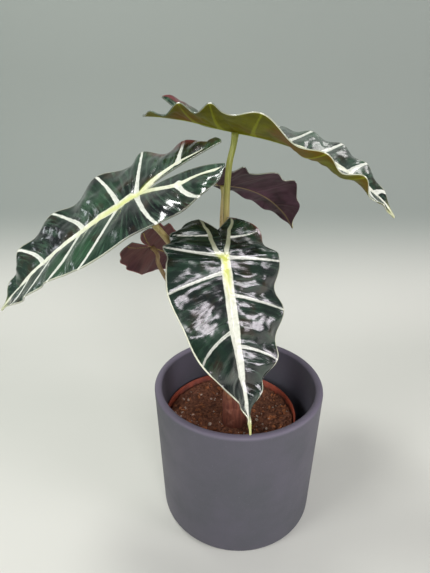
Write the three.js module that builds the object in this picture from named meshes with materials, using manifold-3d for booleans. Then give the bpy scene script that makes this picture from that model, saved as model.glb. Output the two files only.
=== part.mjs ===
// Potted alocasia: a cover pot, a grow pot of soil standing in it, and a plant with five leaves.
// Millimetres, +Z up, front towards -Y. The origin is the middle of the cover pot's underside.
import * as THREE from "three";
import { mergeVertices } from "three/addons/utils/BufferGeometryUtils.js";
import Module from "manifold-3d";

const wasm = await Module();
wasm.setup();

const seatGap = 0.3; // clearance left where one piece stands in or on another
const degree = Math.PI / 180;

const coverPot = {
  height: 130,
  rimRadius: 75,
  footRadius: 71,
  wall: 6.6,
  floor: 6,
  rimRound: 3,
  footRound: 4,
  segments: 48,
};

const growPot = {
  height: 90,
  rimRadius: 60,
  rimBand: 14, // height of the wider band below the rim
  rimStep: 2, // how far the band stands out from the body
  footRadius: 46,
  wall: 1.4,
  floor: 2,
  shiftX: -6.5, // it leans to the left side of the cover pot
  segments: 48,
  drains: { count: 5, radius: 4, ring: 28, sides: 8 },
};

const soil = {
  belowRim: 5.5,
  lumpHeight: 1.1,
  moundHeight: 2.5,
  moundReach: 24,
  rings: 9,
  grains: { count: 34, smallest: 1.1, largest: 2.3, seed: 11 },
};

const crown = {
  x: -3.5,
  y: -10.5,
  rootDepth: 24, // below the soil line
  height: 50, // above the soil line
  radius: 11,
  topRadius: 10.2,
  ridgeDepth: 0.05,
  ridgeCount: 5,
  segments: 30,
  slotRing: 5.9, // circle that the stalks stand on
  slotDepth: 11,
};

const blade = {
  thickness: 0.8,
  ridge: 1.3, // how far the midrib stands out below at the junction
  ridgeReach: 2.4,
  frameSteps: 40,
  dripStart: 0.6, // place along the blade where it starts to narrow to a drip tip
  scallop: 0.05,
  wave: 2.0,
};

// Outline of a half blade: x runs from -1, the lobe tip, over 0, the stalk's junction, to 1, the tip.
const outlineAt = [-1, -0.93, -0.75, -0.4, 0, 0.2, 0.42, 0.62, 0.78, 0.88, 0.94, 1];
const outlineShare = [0.38, 0.58, 0.76, 0.91, 0.99, 1, 0.92, 0.73, 0.45, 0.2, 0.07, 0.015];
// Places along x where a leaf's fold and curl are given.
const stations = [-1, -0.5, -0.1, 0.2, 0.45, 0.72, 1];
// Grid of a half blade: rows to each whole x before and after the end of the notch, and its columns.
const lobeRowRate = 13;
const bladeRowRate = 21;
const columnShares = [0, 0.08, 0.36, 0.7, 1];

// Angles in degrees. fold is the slope of a half blade where it leaves the midrib, and curl is how far
// it turns up by its margin. veins give where each side vein leaves the rib and reaches the margin.
// The notch between the lobes ends sinus, a share of a lobe's length, behind the junction. spread is how far
// the left and the right lobe's tip stands from the axis, as a share of the half width, and flare how late
// the lobe's inner edge turns out to it. tuck draws in the outer edge of the lobes, and drip the edge before
// the tip. waviness is how strongly the left and the right margin rise and fall.
const leaves = {
  front: {
    junction: [-14.2, -43, 260.9],
    heading: -73,
    pitch: -68,
    roll: -8,
    length: 124.5,
    lobe: 35,
    widthL: 48,
    widthR: 44.5,
    sinus: 0.62,
    spread: [0.3, 0.22],
    flare: [1, 1],
    tuck: 0.12,
    drip: 0.04,
    waviness: [1, 1],
    bend: -4,
    hook: 0,
    yaw: 2,
    twist: -29,
    lobeBend: 57,
    lobeTwist: 4,
    foldL: [4, -9, -5, 0, 7, 9, 0],
    curlL: [-22, -20, -15, -15, -11, -9, -12],
    foldR: [8, 0, 6, 8, 12, 25, 36],
    curlR: [-42, -17, -10, -13, -12, -14, -10],
    veinsL: [[-0.44, -0.7], [0, 0.05], [0.21, 0.35], [0.5, 0.64], [0.7, 0.8]],
    veinsR: [[-0.5, -0.68], [-0.06, -0.34], [0.08, 0.16], [0.41, 0.54], [0.66, 0.76], [0.84, 0.9]],
    stalk: {
      slot: -62,
      radius: [3, 2.2],
      path: [[-5, -18.5, 180], [-11.5, -21, 215], [-16.5, -26, 240]],
    },
  },
  left: {
    junction: [-75.5, -53, 302.5],
    heading: -189,
    pitch: -30.6,
    roll: -22.5,
    length: 142,
    lobe: 67,
    widthL: 42,
    widthR: 46,
    sinus: 0.14,
    spread: [0.34, 0.3],
    flare: [3, 0.75],
    tuck: 0,
    drip: 0,
    waviness: [1, 1],
    bend: 16,
    hook: 0,
    yaw: 3,
    twist: -14,
    lobeBend: 7,
    lobeTwist: -3,
    foldL: [2, 0, 6, 7, 17, 15, 7],
    curlL: [-15, -15, -15, -15, -15, -15, -15],
    foldR: [-3, 1, 9, 10, 8, 19, 10],
    curlR: [-7, -7, -7, -7, -7, -7, -7],
    veinsL: [[-0.54, -0.73], [-0.1, -0.33], [0.06, 0.24], [0.3, 0.41], [0.5, 0.6], [0.7, 0.8]],
    veinsR: [[-0.55, -0.62], [-0.09, -0.16], [0.06, 0.2], [0.28, 0.5], [0.58, 0.73], [0.8, 0.88]],
    stalk: {
      slot: -134,
      radius: [3, 2.2],
      path: [[-14, -17, 172], [-26, -21, 210], [-40, -27, 245], [-52.8, -34, 268.8], [-61.9, -41.5, 283.6]],
    },
  },
  top: {
    junction: [-6.5, -2, 341.5],
    heading: -17,
    pitch: -7,
    roll: 0,
    length: 134,
    lobe: 64,
    widthL: 46,
    widthR: 45,
    sinus: 0.14,
    spread: [0.34, 0.34],
    flare: [0.75, 0.75],
    tuck: 0,
    drip: 0,
    waviness: [0.55, 1.15],
    bend: 47,
    hook: 0.3,
    yaw: 10,
    twist: 20,
    lobeBend: -8,
    lobeTwist: 18,
    foldL: [34, -10, -5, 2, 4, 7, 14],
    curlL: [-60, 0, 0, 0, 0, 0, 0],
    foldR: [10, 17, 13, 11, -11, -6, 0],
    curlR: [10, 16, 16, 20, 60, 85, 60],
    veinsL: [[-0.55, -0.65], [-0.1, -0.2], [0.08, 0.18], [0.27, 0.38], [0.45, 0.57], [0.64, 0.73], [0.82, 0.88]],
    veinsR: [[-0.42, -0.47], [-0.16, -0.12], [0.1, 0.17], [0.33, 0.46], [0.54, 0.66], [0.76, 0.86]],
    stalk: {
      slot: 10,
      radius: [3.1, 2.2],
      path: [[-3.5, -9, 170], [-10, -7.5, 225], [-12.6, -6.3, 275], [-10.8, -4.6, 318]],
    },
  },
  back: {
    junction: [-14.5, 46, 296],
    heading: 37,
    pitch: -6,
    roll: -15,
    length: 106,
    lobe: 38,
    widthL: 37,
    widthR: 37.5,
    sinus: 0.14,
    spread: [0.15, 0.15],
    flare: [0.75, 0.75],
    tuck: 0,
    drip: 0,
    waviness: [1, 1],
    bend: 52,
    hook: 0.2,
    yaw: 9,
    twist: 3,
    lobeBend: -6,
    lobeTwist: -3,
    foldL: [9, 10, 13, 9, 9, 5, 9],
    curlL: [-6, -5, -4, -6, -6, -6, -6],
    foldR: [10, 12, 12, 11, 17, 15, 11],
    curlR: [-6, -5, -5, -6, -3, -4, -5],
    veinsL: [[-0.6, -0.68], [-0.1, -0.24], [0.08, 0.16], [0.28, 0.4], [0.5, 0.62], [0.72, 0.8]],
    veinsR: [[-0.55, -0.62], [-0.1, -0.2], [0.1, 0.22], [0.38, 0.5], [0.66, 0.79]],
    stalk: {
      slot: 82,
      radius: [2.8, 1.9],
      path: [[-6, 0, 172], [-12, 15, 220], [-15, 31, 260], [-14.5, 39, 277]],
    },
  },
  small: {
    junction: [-74, 20, 249],
    heading: 62,
    pitch: -26,
    roll: -53,
    length: 65,
    lobe: 27,
    widthL: 28,
    widthR: 26,
    sinus: 0.14,
    spread: [0.05, 0.34],
    flare: [1, 3],
    tuck: 0,
    drip: 0,
    waviness: [1, 1],
    bend: 15,
    hook: 0,
    yaw: -6,
    twist: 8,
    lobeBend: 5,
    lobeTwist: 4,
    foldL: [9, 3, -1, -2, 7, 9, 9],
    curlL: [-10, -12, -13, -14, -10, -10, -10],
    foldR: [3, 6, 2, -6, 3, 6, 7],
    curlR: [-10, -10, -11, -16, -11, -10, -10],
    veinsL: [[-0.55, -0.62], [-0.08, -0.24], [0.16, 0.28], [0.42, 0.54], [0.68, 0.76]],
    veinsR: [[-0.5, -0.6], [-0.06, -0.18], [0.18, 0.3], [0.44, 0.56], [0.7, 0.78]],
    stalk: {
      slot: 154,
      radius: [2.6, 1.7],
      path: [[-20, -4.5, 168], [-42, 3, 196], [-61, 11, 222], [-69, 15.5, 237]],
    },
  },
};

const finishes = {
  coverPot: { color: 0x64626c, roughness: 0.6, metalness: 0 },
  growPot: { color: 0x96462f, roughness: 0.55, metalness: 0 },
  soil: { color: 0x33231a, roughness: 0.95, metalness: 0 },
  crown: { color: 0x73462f, roughness: 0.7, metalness: 0 },
  stalk: { color: 0x8c963c, roughness: 0.45, metalness: 0 },
  blade: { color: 0x193228, roughness: 0.25, metalness: 0 },
};

const soilLine = coverPot.floor + seatGap + growPot.height - soil.belowRim;

// A closed body from a three.js geometry: shared vertices joined, empty faces dropped, faces outwards.
function closedBody(geometry) {
  geometry.deleteAttribute("normal");
  geometry.deleteAttribute("uv");
  const merged = mergeVertices(geometry, 1e-4);
  const faces = [];
  for (let i = 0; i < merged.index.count; i += 3) {
    const face = [merged.index.getX(i), merged.index.getX(i + 1), merged.index.getX(i + 2)];
    if (new Set(face).size === 3) {
      faces.push(face);
    }
  }
  const points = merged.getAttribute("position");
  const corner = (at) => new THREE.Vector3().fromBufferAttribute(points, at);
  const volume = faces.reduce((sum, [a, b, c]) => sum + corner(a).dot(corner(b).cross(corner(c))), 0);
  merged.setIndex(faces.flatMap(([a, b, c]) => (volume < 0 ? [a, c, b] : [a, b, c])));
  merged.computeVertexNormals();
  return merged;
}

function lathe(profile, segments) {
  const points = profile.map(([radius, z]) => new THREE.Vector2(radius, z));
  return new THREE.LatheGeometry(points, segments).rotateX(Math.PI / 2);
}

// Points of a quarter turn of the given radius about a centre, from one angle to another.
function arc(x, z, radius, from, to, steps) {
  return Array.from({ length: steps + 1 }, (_, i) => {
    const angle = (from + ((to - from) * i) / steps) * degree;
    return [x + radius * Math.cos(angle), z + radius * Math.sin(angle)];
  });
}

function toManifold(geometry) {
  const body = closedBody(geometry);
  return new wasm.Manifold(
    new wasm.Mesh({
      numProp: 3,
      vertProperties: new Float32Array(body.getAttribute("position").array),
      triVerts: new Uint32Array(body.index.array),
    }),
  );
}

function fromManifold(manifold) {
  const mesh = manifold.getMesh();
  const geometry = new THREE.BufferGeometry();
  geometry.setAttribute("position", new THREE.BufferAttribute(new Float32Array(mesh.vertProperties), 3));
  geometry.setIndex(new THREE.BufferAttribute(new Uint32Array(mesh.triVerts), 1));
  return closedBody(geometry);
}

function cut(geometry, cutters) {
  const rest = cutters.reduce((body, cutter) => body.subtract(toManifold(cutter)), toManifold(geometry));
  return fromManifold(rest);
}

// Repeatable random numbers from 0 to 1.
function seededRandom(seed) {
  let state = seed;
  return () => {
    state = (state * 16807) % 2147483647;
    return state / 2147483647;
  };
}

// Smooth curve through given values at given places.
function through(places, values, x) {
  const last = places.length - 1;
  const at = Math.min(Math.max(x, places[0]), places[last]);
  let i = 0;
  while (i < last - 1 && at >= places[i + 1]) {
    i += 1;
  }
  const slope = (k) => {
    const before = Math.max(k - 1, 0);
    const after = Math.min(k + 1, last);
    return (values[after] - values[before]) / (places[after] - places[before]);
  };
  const step = places[i + 1] - places[i];
  const t = (at - places[i]) / step;
  const start = (2 * t ** 3 - 3 * t ** 2 + 1) * values[i] + (t ** 3 - 2 * t ** 2 + t) * step * slope(i);
  const end = (3 * t ** 2 - 2 * t ** 3) * values[i + 1] + (t ** 3 - t ** 2) * step * slope(i + 1);
  return start + end;
}

function coverPotBody() {
  const { height, rimRadius, footRadius, wall, floor, rimRound, footRound, segments } = coverPot;
  const innerFoot = footRadius - wall;
  return lathe(
    [
      [0, 0],
      ...arc(footRadius - footRound, footRound, footRound, -90, 0, 3),
      ...arc(rimRadius - rimRound, height - rimRound, rimRound, 0, 90, 3),
      ...arc(rimRadius - wall + rimRound, height - rimRound, rimRound, 90, 180, 3),
      [innerFoot, floor + footRound],
      [innerFoot - footRound, floor],
      [0, floor],
    ],
    segments,
  );
}

// Radius and height above the grow pot's underside, down its inside from the rim to the floor.
function growPotInside() {
  const { height, rimRadius, rimBand, rimStep, footRadius, wall, floor } = growPot;
  return [
    [rimRadius - wall, height],
    [rimRadius - wall - 0.6, height - rimBand + wall],
    [rimRadius - rimStep - wall - 0.6, height - rimBand - wall],
    [footRadius - wall, floor + 2],
    [footRadius - wall - 2, floor],
  ];
}

function growPotBody() {
  const { height, rimRadius, rimBand, rimStep, footRadius, drains, shiftX, segments } = growPot;
  const base = coverPot.floor + seatGap;
  const body = lathe(
    [
      [0, 0],
      [footRadius - 2, 0],
      [footRadius, 2],
      [rimRadius - rimStep - 0.6, height - rimBand],
      [rimRadius - 0.6, height - rimBand],
      [rimRadius, height - 1],
      [rimRadius - 0.4, height],
      ...growPotInside(),
      [0, growPot.floor],
    ],
    segments,
  );
  const holes = Array.from({ length: drains.count }, (_, i) => {
    const angle = (i / drains.count) * 2 * Math.PI;
    const hole = new THREE.CylinderGeometry(drains.radius, drains.radius, 20, drains.sides);
    hole.rotateX(Math.PI / 2);
    return hole.translate(drains.ring * Math.cos(angle), drains.ring * Math.sin(angle), 0);
  });
  return cut(body, holes).translate(shiftX, 0, base);
}

// Height of the soil's surface over the soil line, at x and y from the crown.
function soilRelief(x, y) {
  const lumps = Math.sin(0.42 * x + 1.7 * Math.sin(0.19 * y)) * Math.cos(0.37 * y + 1.3 * Math.sin(0.23 * x));
  const mound = Math.exp(-(x * x + y * y) / soil.moundReach ** 2);
  return soil.lumpHeight * lumps + soil.moundHeight * mound;
}

// Roundish profile of the crown about its own axis, from the root up to the given height.
function crownProfile(height, topRadius, extra) {
  const { radius, rootDepth } = crown;
  return [
    [0, -rootDepth - extra],
    [radius * 0.6 + extra, -rootDepth + 2 - extra],
    [radius * 0.95 + extra, -rootDepth * 0.66],
    [radius + extra, -rootDepth * 0.25],
    [radius + extra, height * 0.25],
    [(radius + topRadius) / 2 + extra, height * 0.6],
    [topRadius + extra, height - 3],
    [topRadius - 2 + extra, height],
    [0, height],
  ];
}

function soilBody() {
  const inside = growPotInside();
  const wallPoints = inside.slice(1).map(([radius, z]) => [radius - seatGap, z + seatGap]);
  const edge = wallPoints[0][0];
  const top = growPot.height - soil.belowRim;
  const rings = Array.from({ length: soil.rings }, (_, i) => [(edge * i) / soil.rings, top]);
  const wall = [[edge, top], ...wallPoints, [0, growPot.floor + seatGap]];
  const body = lathe([...rings, ...wall].reverse(), growPot.segments);
  body.translate(growPot.shiftX, 0, coverPot.floor + seatGap);
  const points = body.getAttribute("position");
  for (let i = 0; i < points.count; i += 1) {
    if (points.getZ(i) > soilLine - 0.01) {
      points.setZ(i, soilLine + soilRelief(points.getX(i) - crown.x, points.getY(i) - crown.y));
    }
  }
  const random = seededRandom(soil.grains.seed);
  let filled = toManifold(body);
  for (let i = 0; i < soil.grains.count; i += 1) {
    const size = soil.grains.smallest + (soil.grains.largest - soil.grains.smallest) * random();
    const reach = (edge - soil.grains.largest - 1) * Math.sqrt(random());
    const angle = 2 * Math.PI * random();
    const x = growPot.shiftX + reach * Math.cos(angle) - crown.x;
    const y = reach * Math.sin(angle) - crown.y;
    const grain = new THREE.OctahedronGeometry(size).rotateX(random() * 3).rotateY(random() * 3);
    if (Math.hypot(x, y) > crown.radius + 4) {
      grain.translate(x + crown.x, y + crown.y, soilLine + soilRelief(x, y));
      filled = filled.add(toManifold(grain));
    }
  }
  const socket = lathe(crownProfile(60, crown.radius, seatGap), crown.segments);
  return fromManifold(filled.subtract(toManifold(socket.translate(crown.x, crown.y, soilLine))));
}

// A round stalk along a smooth path, tapering from its foot to its top, closed at both ends.
function taperedTube(points, footRadius, topRadius, sides, steps) {
  const curve = new THREE.CatmullRomCurve3(points, false, "centripetal");
  const frames = curve.computeFrenetFrames(steps, false);
  const positions = [];
  const faces = [];
  for (let i = 0; i <= steps; i += 1) {
    const centre = curve.getPointAt(i / steps);
    const radius = footRadius + ((topRadius - footRadius) * i) / steps;
    for (let k = 0; k < sides; k += 1) {
      const angle = (k / sides) * 2 * Math.PI;
      const offset = frames.normals[i].clone().multiplyScalar(radius * Math.cos(angle));
      offset.addScaledVector(frames.binormals[i], radius * Math.sin(angle)).add(centre);
      positions.push(...offset.toArray());
      if (i < steps) {
        const next = (k + 1) % sides;
        const row = i * sides;
        faces.push(row + k, row + next, row + sides + next, row + k, row + sides + next, row + sides + k);
      }
    }
  }
  const foot = positions.length / 3;
  const topRow = steps * sides;
  positions.push(...curve.getPointAt(0).toArray(), ...curve.getPointAt(1).toArray());
  for (let k = 0; k < sides; k += 1) {
    const next = (k + 1) % sides;
    faces.push(foot, next, k, foot + 1, topRow + k, topRow + next);
  }
  const tube = new THREE.BufferGeometry();
  tube.setAttribute("position", new THREE.Float32BufferAttribute(positions, 3));
  tube.setIndex(faces);
  return tube;
}

// Centre line of a leaf with its own directions: along towards the tip, left, and up from the upper face.
function ribFrames(leaf) {
  const { frameSteps } = blade;
  const [heading, pitch, roll] = [leaf.heading, leaf.pitch, leaf.roll].map((angle) => angle * degree);
  const along = new THREE.Vector3(
    Math.cos(heading) * Math.cos(pitch),
    Math.sin(heading) * Math.cos(pitch),
    Math.sin(pitch),
  );
  const level = new THREE.Vector3(-Math.sin(heading), Math.cos(heading), 0);
  const normal = along.clone().cross(level);
  const left = turned(level, normal, roll);
  const up = turned(normal, level, -roll);
  const start = { centre: new THREE.Vector3(...leaf.junction), along, left, up };
  const forward = march(start, 1, leaf.length, leaf.bend, leaf.hook, leaf.yaw, leaf.twist);
  const backward = march(start, -1, leaf.lobe, leaf.lobeBend, 0, 0, leaf.lobeTwist);
  return { frames: [...backward.reverse(), start, ...forward], frameSteps };
}

// One direction turned towards another by an angle.
function turned(vector, towards, angle) {
  return vector.clone().multiplyScalar(Math.cos(angle)).addScaledVector(towards, Math.sin(angle));
}

function march(start, way, length, bend, hook, yaw, twist) {
  const steps = blade.frameSteps;
  const frames = [];
  let { centre, along, left, up } = start;
  for (let i = 0; i < steps; i += 1) {
    const k = (i + 0.5) / steps;
    const droop = ((way * bend * (1 + hook * (3 * k * k - 1))) / steps) * degree;
    [along, up] = [turned(along, up, -droop), turned(up, along, droop)];
    const swing = (yaw / steps) * degree;
    [along, left] = [turned(along, left, swing), turned(left, along, -swing)];
    const spin = (twist / steps) * degree;
    [left, up] = [turned(left, up, spin), turned(up, left, -spin)];
    centre = centre.clone().addScaledVector(along, (way * length) / steps);
    frames.push({ centre, along, left, up });
  }
  return frames;
}

function frameAt(rib, x) {
  const place = (x + 1) * rib.frameSteps;
  const i = Math.min(Math.floor(place), 2 * rib.frameSteps - 1);
  const [a, b] = [rib.frames[i], rib.frames[i + 1]];
  const blend = (key) => a[key].clone().lerp(b[key], place - i);
  return { centre: blend("centre"), left: blend("left"), up: blend("up") };
}

// Where x lies among the side veins at the margin: a whole number at each vein's end.
function veinCount(veins, x) {
  const ends = veins.map((vein) => vein[1]);
  const last = ends.length - 1;
  if (x < ends[0]) {
    return (x - ends[0]) / (ends[1] - ends[0]);
  }
  if (x > ends[last]) {
    return last + (x - ends[last]) / (ends[last] - ends[last - 1]);
  }
  return through(ends, ends.map((_, i) => i), x);
}

// Middle of the blade at x along it and a share of the way from its inner edge to its margin.
function bladePoint(leaf, rib, x, share, side) {
  const { centre, left, up } = frameAt(rib, x);
  const isLeft = side > 0;
  const half = isLeft ? leaf.widthL : leaf.widthR;
  const beat = Math.cos(2 * Math.PI * veinCount(isLeft ? leaf.veinsL : leaf.veinsR, x));
  const fade = Math.min(1, (1 - Math.abs(x)) / 0.15);
  const notchPart = Math.max(0, (-x - leaf.sinus) / (1 - leaf.sinus));
  const tipPart = Math.max(0, (x - blade.dripStart) / (1 - blade.dripStart));
  const ahead = x + leaf.drip * 4 * tipPart * (1 - tipPart);
  const outline = through(outlineAt, outlineShare, ahead) - leaf.tuck * Math.max(0, -x) ** 2;
  const outer = outline * half * (1 + blade.scallop * beat * fade);
  const ownSide = (pair) => pair[isLeft ? 0 : 1];
  const inner = ownSide(leaf.spread) * half * notchPart ** ownSide(leaf.flare);
  const reach = inner + share * (outer - inner);
  const slope = through(stations, isLeft ? leaf.foldL : leaf.foldR, x) * degree;
  const curl = through(stations, isLeft ? leaf.curlL : leaf.curlR, x);
  const turn = ((Math.abs(curl) < 0.01 ? 0.01 : curl) * degree) / half;
  const across = (Math.sin(slope + turn * reach) - Math.sin(slope)) / turn;
  const rise = (Math.cos(slope) - Math.cos(slope + turn * reach)) / turn;
  const wave = blade.wave * ownSide(leaf.waviness) * (half / 46);
  const lift = rise + wave * beat * fade * share * share;
  return centre.addScaledVector(left, side * across).addScaledVector(up, lift);
}

function bladeNormal(leaf, rib, x, share, side) {
  const d = 0.004;
  const x0 = Math.max(x - d, -1);
  const x1 = Math.min(x + d, 1);
  const lengthwise = bladePoint(leaf, rib, x1, share, side).sub(bladePoint(leaf, rib, x0, share, side));
  const inward = Math.max(share - d, 0);
  const outward = Math.min(share + d, 1);
  const crosswise = bladePoint(leaf, rib, x, outward, side).sub(bladePoint(leaf, rib, x, inward, side));
  return lengthwise.cross(crosswise).multiplyScalar(side).normalize();
}

// A leaf blade as one closed body, its two faces split into triangles alike.
function bladeBody(leaf) {
  const rib = ribFrames(leaf);
  const rows = [];
  const lobeRows = Math.round((1 - leaf.sinus) * lobeRowRate);
  const bladeRows = Math.round((1 + leaf.sinus) * bladeRowRate);
  for (let i = 0; i < lobeRows; i += 1) {
    rows.push(-1 + ((1 - leaf.sinus) * i) / lobeRows);
  }
  for (let i = 0; i <= bladeRows; i += 1) {
    rows.push(-leaf.sinus + ((1 + leaf.sinus) * i) / bladeRows);
  }
  const positions = [];
  const faces = [];
  const addVertex = (x, share, side) => {
    const { up } = frameAt(rib, x);
    const onRib = share === 0 && x >= -leaf.sinus - 1e-9;
    const normal = onRib ? up : bladeNormal(leaf, rib, x, share, side);
    const half = side > 0 ? leaf.widthL : leaf.widthR;
    const swell = Math.exp(-((share * half) ** 2) / blade.ridgeReach ** 2) * (1 - 0.75 * Math.abs(x));
    const middle = bladePoint(leaf, rib, x, share, side);
    const upper = middle.clone().addScaledVector(normal, blade.thickness / 2);
    const lower = middle.clone().addScaledVector(normal, -blade.thickness / 2 - blade.ridge * swell);
    positions.push(...upper.toArray(), ...lower.toArray());
    return positions.length / 6 - 1;
  };
  // Upper and lower vertex of grid point n are 2n and 2n + 1.
  const grid = { 1: [], "-1": [] };
  rows.forEach((x, i) => {
    for (const side of [1, -1]) {
      grid[side][i] = columnShares.map((share, k) => {
        const shared = side < 0 && k === 0 && i >= lobeRows;
        return shared ? grid[1][i][0] : addVertex(x, share, side);
      });
    }
  });
  const addEdge = (a, b) => faces.push(2 * a, 2 * a + 1, 2 * b + 1, 2 * a, 2 * b + 1, 2 * b);
  const addCell = (a, b, c, d) => {
    faces.push(2 * a, 2 * b, 2 * c, 2 * a, 2 * c, 2 * d);
    faces.push(2 * a + 1, 2 * c + 1, 2 * b + 1, 2 * a + 1, 2 * d + 1, 2 * c + 1);
  };
  const lastRow = rows.length - 1;
  const lastColumn = columnShares.length - 1;
  for (const side of [1, -1]) {
    const net = grid[side];
    const edge = (a, b) => (side > 0 ? addEdge(a, b) : addEdge(b, a));
    for (let i = 0; i < lastRow; i += 1) {
      for (let k = 0; k < lastColumn; k += 1) {
        const corners = [net[i][k], net[i + 1][k], net[i + 1][k + 1], net[i][k + 1]];
        addCell(...(side > 0 ? corners : corners.reverse()));
      }
      edge(net[i + 1][lastColumn], net[i][lastColumn]);
      if (i < lobeRows) {
        edge(net[i][0], net[i + 1][0]);
      }
    }
    for (let k = 0; k < lastColumn; k += 1) {
      edge(net[0][k + 1], net[0][k]);
      edge(net[lastRow][k], net[lastRow][k + 1]);
    }
  }
  const body = new THREE.BufferGeometry();
  body.setAttribute("position", new THREE.Float32BufferAttribute(positions, 3));
  body.setIndex(faces);
  return body;
}

// Path of a stalk, from its slot in the crown to just below the blade's junction.
function stalkPath(leaf, footDrop) {
  const { slot, path } = leaf.stalk;
  const angle = slot * degree;
  const footX = crown.x + crown.slotRing * Math.cos(angle);
  const footY = crown.y + crown.slotRing * Math.sin(angle);
  const crownTop = soilLine + crown.height;
  const { centre, up } = frameAt(ribFrames(leaf), 0);
  const below = (distance) => centre.clone().addScaledVector(up, -distance);
  const topGap = blade.thickness / 2 + blade.ridge + seatGap;
  return [
    new THREE.Vector3(footX, footY, crownTop - crown.slotDepth - footDrop),
    new THREE.Vector3(footX, footY, crownTop + 2),
    ...path.map((point) => new THREE.Vector3(...point)),
    below(9),
    below(topGap),
  ];
}

function stalkBody(leaf) {
  const [footRadius, topRadius] = leaf.stalk.radius;
  return taperedTube(stalkPath(leaf, 0), footRadius, topRadius, 10, 18);
}

function crownBody() {
  const body = lathe(crownProfile(crown.height, crown.topRadius, 0), crown.segments);
  const points = body.getAttribute("position");
  for (let i = 0; i < points.count; i += 1) {
    const [x, y, z] = [points.getX(i), points.getY(i), points.getZ(i)];
    const above = Math.min(1, Math.max(0, (z - 5) / 10));
    const ridge = Math.sin(crown.ridgeCount * Math.atan2(y, x) + 0.05 * z);
    const scale = 1 + crown.ridgeDepth * above * ridge;
    points.setXYZ(i, x * scale, y * scale, z);
  }
  body.translate(crown.x, crown.y, soilLine);
  const slots = Object.values(leaves).map((leaf) => {
    const [footRadius, topRadius] = leaf.stalk.radius;
    return taperedTube(stalkPath(leaf, seatGap), footRadius + seatGap, topRadius + seatGap, 10, 18);
  });
  return cut(body, slots);
}

const plant = new THREE.Group();

function addPiece(name, geometry, finish) {
  const mesh = new THREE.Mesh(closedBody(geometry), new THREE.MeshStandardMaterial(finishes[finish]));
  mesh.name = name;
  plant.add(mesh);
}

addPiece("cover_pot", coverPotBody(), "coverPot");
addPiece("grow_pot", growPotBody(), "growPot");
addPiece("soil", soilBody(), "soil");
addPiece("crown", crownBody(), "crown");
for (const [name, leaf] of Object.entries(leaves)) {
  addPiece(`stalk_${name}`, stalkBody(leaf), "stalk");
  addPiece(`leaf_${name}`, bladeBody(leaf), "blade");
}

export default plant;
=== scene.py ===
import math
import random

import bmesh
import bpy
import numpy as np
from mathutils import Matrix, Vector, noise


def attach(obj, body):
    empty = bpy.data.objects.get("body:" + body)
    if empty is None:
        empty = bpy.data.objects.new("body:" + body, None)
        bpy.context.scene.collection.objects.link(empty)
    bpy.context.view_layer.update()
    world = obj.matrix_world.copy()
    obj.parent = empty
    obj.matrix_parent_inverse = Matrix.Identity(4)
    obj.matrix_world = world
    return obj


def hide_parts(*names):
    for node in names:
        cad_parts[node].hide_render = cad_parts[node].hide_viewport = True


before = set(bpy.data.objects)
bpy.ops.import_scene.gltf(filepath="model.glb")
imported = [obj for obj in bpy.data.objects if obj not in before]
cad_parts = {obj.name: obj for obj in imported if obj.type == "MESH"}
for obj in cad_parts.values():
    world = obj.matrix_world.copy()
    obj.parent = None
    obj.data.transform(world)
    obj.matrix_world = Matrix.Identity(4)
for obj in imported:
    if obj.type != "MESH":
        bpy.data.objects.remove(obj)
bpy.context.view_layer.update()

scene = bpy.context.scene
mm = 0.001
weldWithin = 1e-6
print("frame loaded:", len(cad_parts), "nodes")


# a smooth step between two values with their slopes, for t from 0 to 1
def between(first, firstSlope, second, secondSlope, t):
    start = first * (2 * t**3 - 3 * t**2 + 1) + firstSlope * (t**3 - 2 * t**2 + t)
    return start + second * (3 * t**2 - 2 * t**3) + secondSlope * (t**3 - t**2)


# smooth curve through values given at places, as the solids use
def through(places, values, x):
    last = len(places) - 1
    at = min(max(x, places[0]), places[last])
    i = 0
    while i < last - 1 and at >= places[i + 1]:
        i += 1

    def slope(k):
        low, high = max(k - 1, 0), min(k + 1, last)
        return (values[high] - values[low]) / (places[high] - places[low])

    step = places[i + 1] - places[i]
    t = (at - places[i]) / step
    return between(values[i], step * slope(i), values[i + 1], step * slope(i + 1), t)


def meshObject(name, bm, materials=(), smooth=True):
    mesh = bpy.data.meshes.new(name)
    bm.to_mesh(mesh)
    bm.free()
    for material in materials:
        mesh.materials.append(material)
    mesh.polygons.foreach_set("use_smooth", [smooth] * len(mesh.polygons))
    made = bpy.data.objects.new(name, mesh)
    scene.collection.objects.link(made)
    return made


def placePiece(name, bm, materials, replaced=()):
    piece = meshObject(name, bm, materials)
    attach(piece, "root")
    if replaced:
        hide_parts(*replaced)
    return piece


shaderInputs = {
    "color": "Base Color", "rough": "Roughness", "normal": "Normal", "specular": "Specular IOR Level",
    "coat": "Coat Weight", "coatRough": "Coat Roughness",
}


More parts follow.
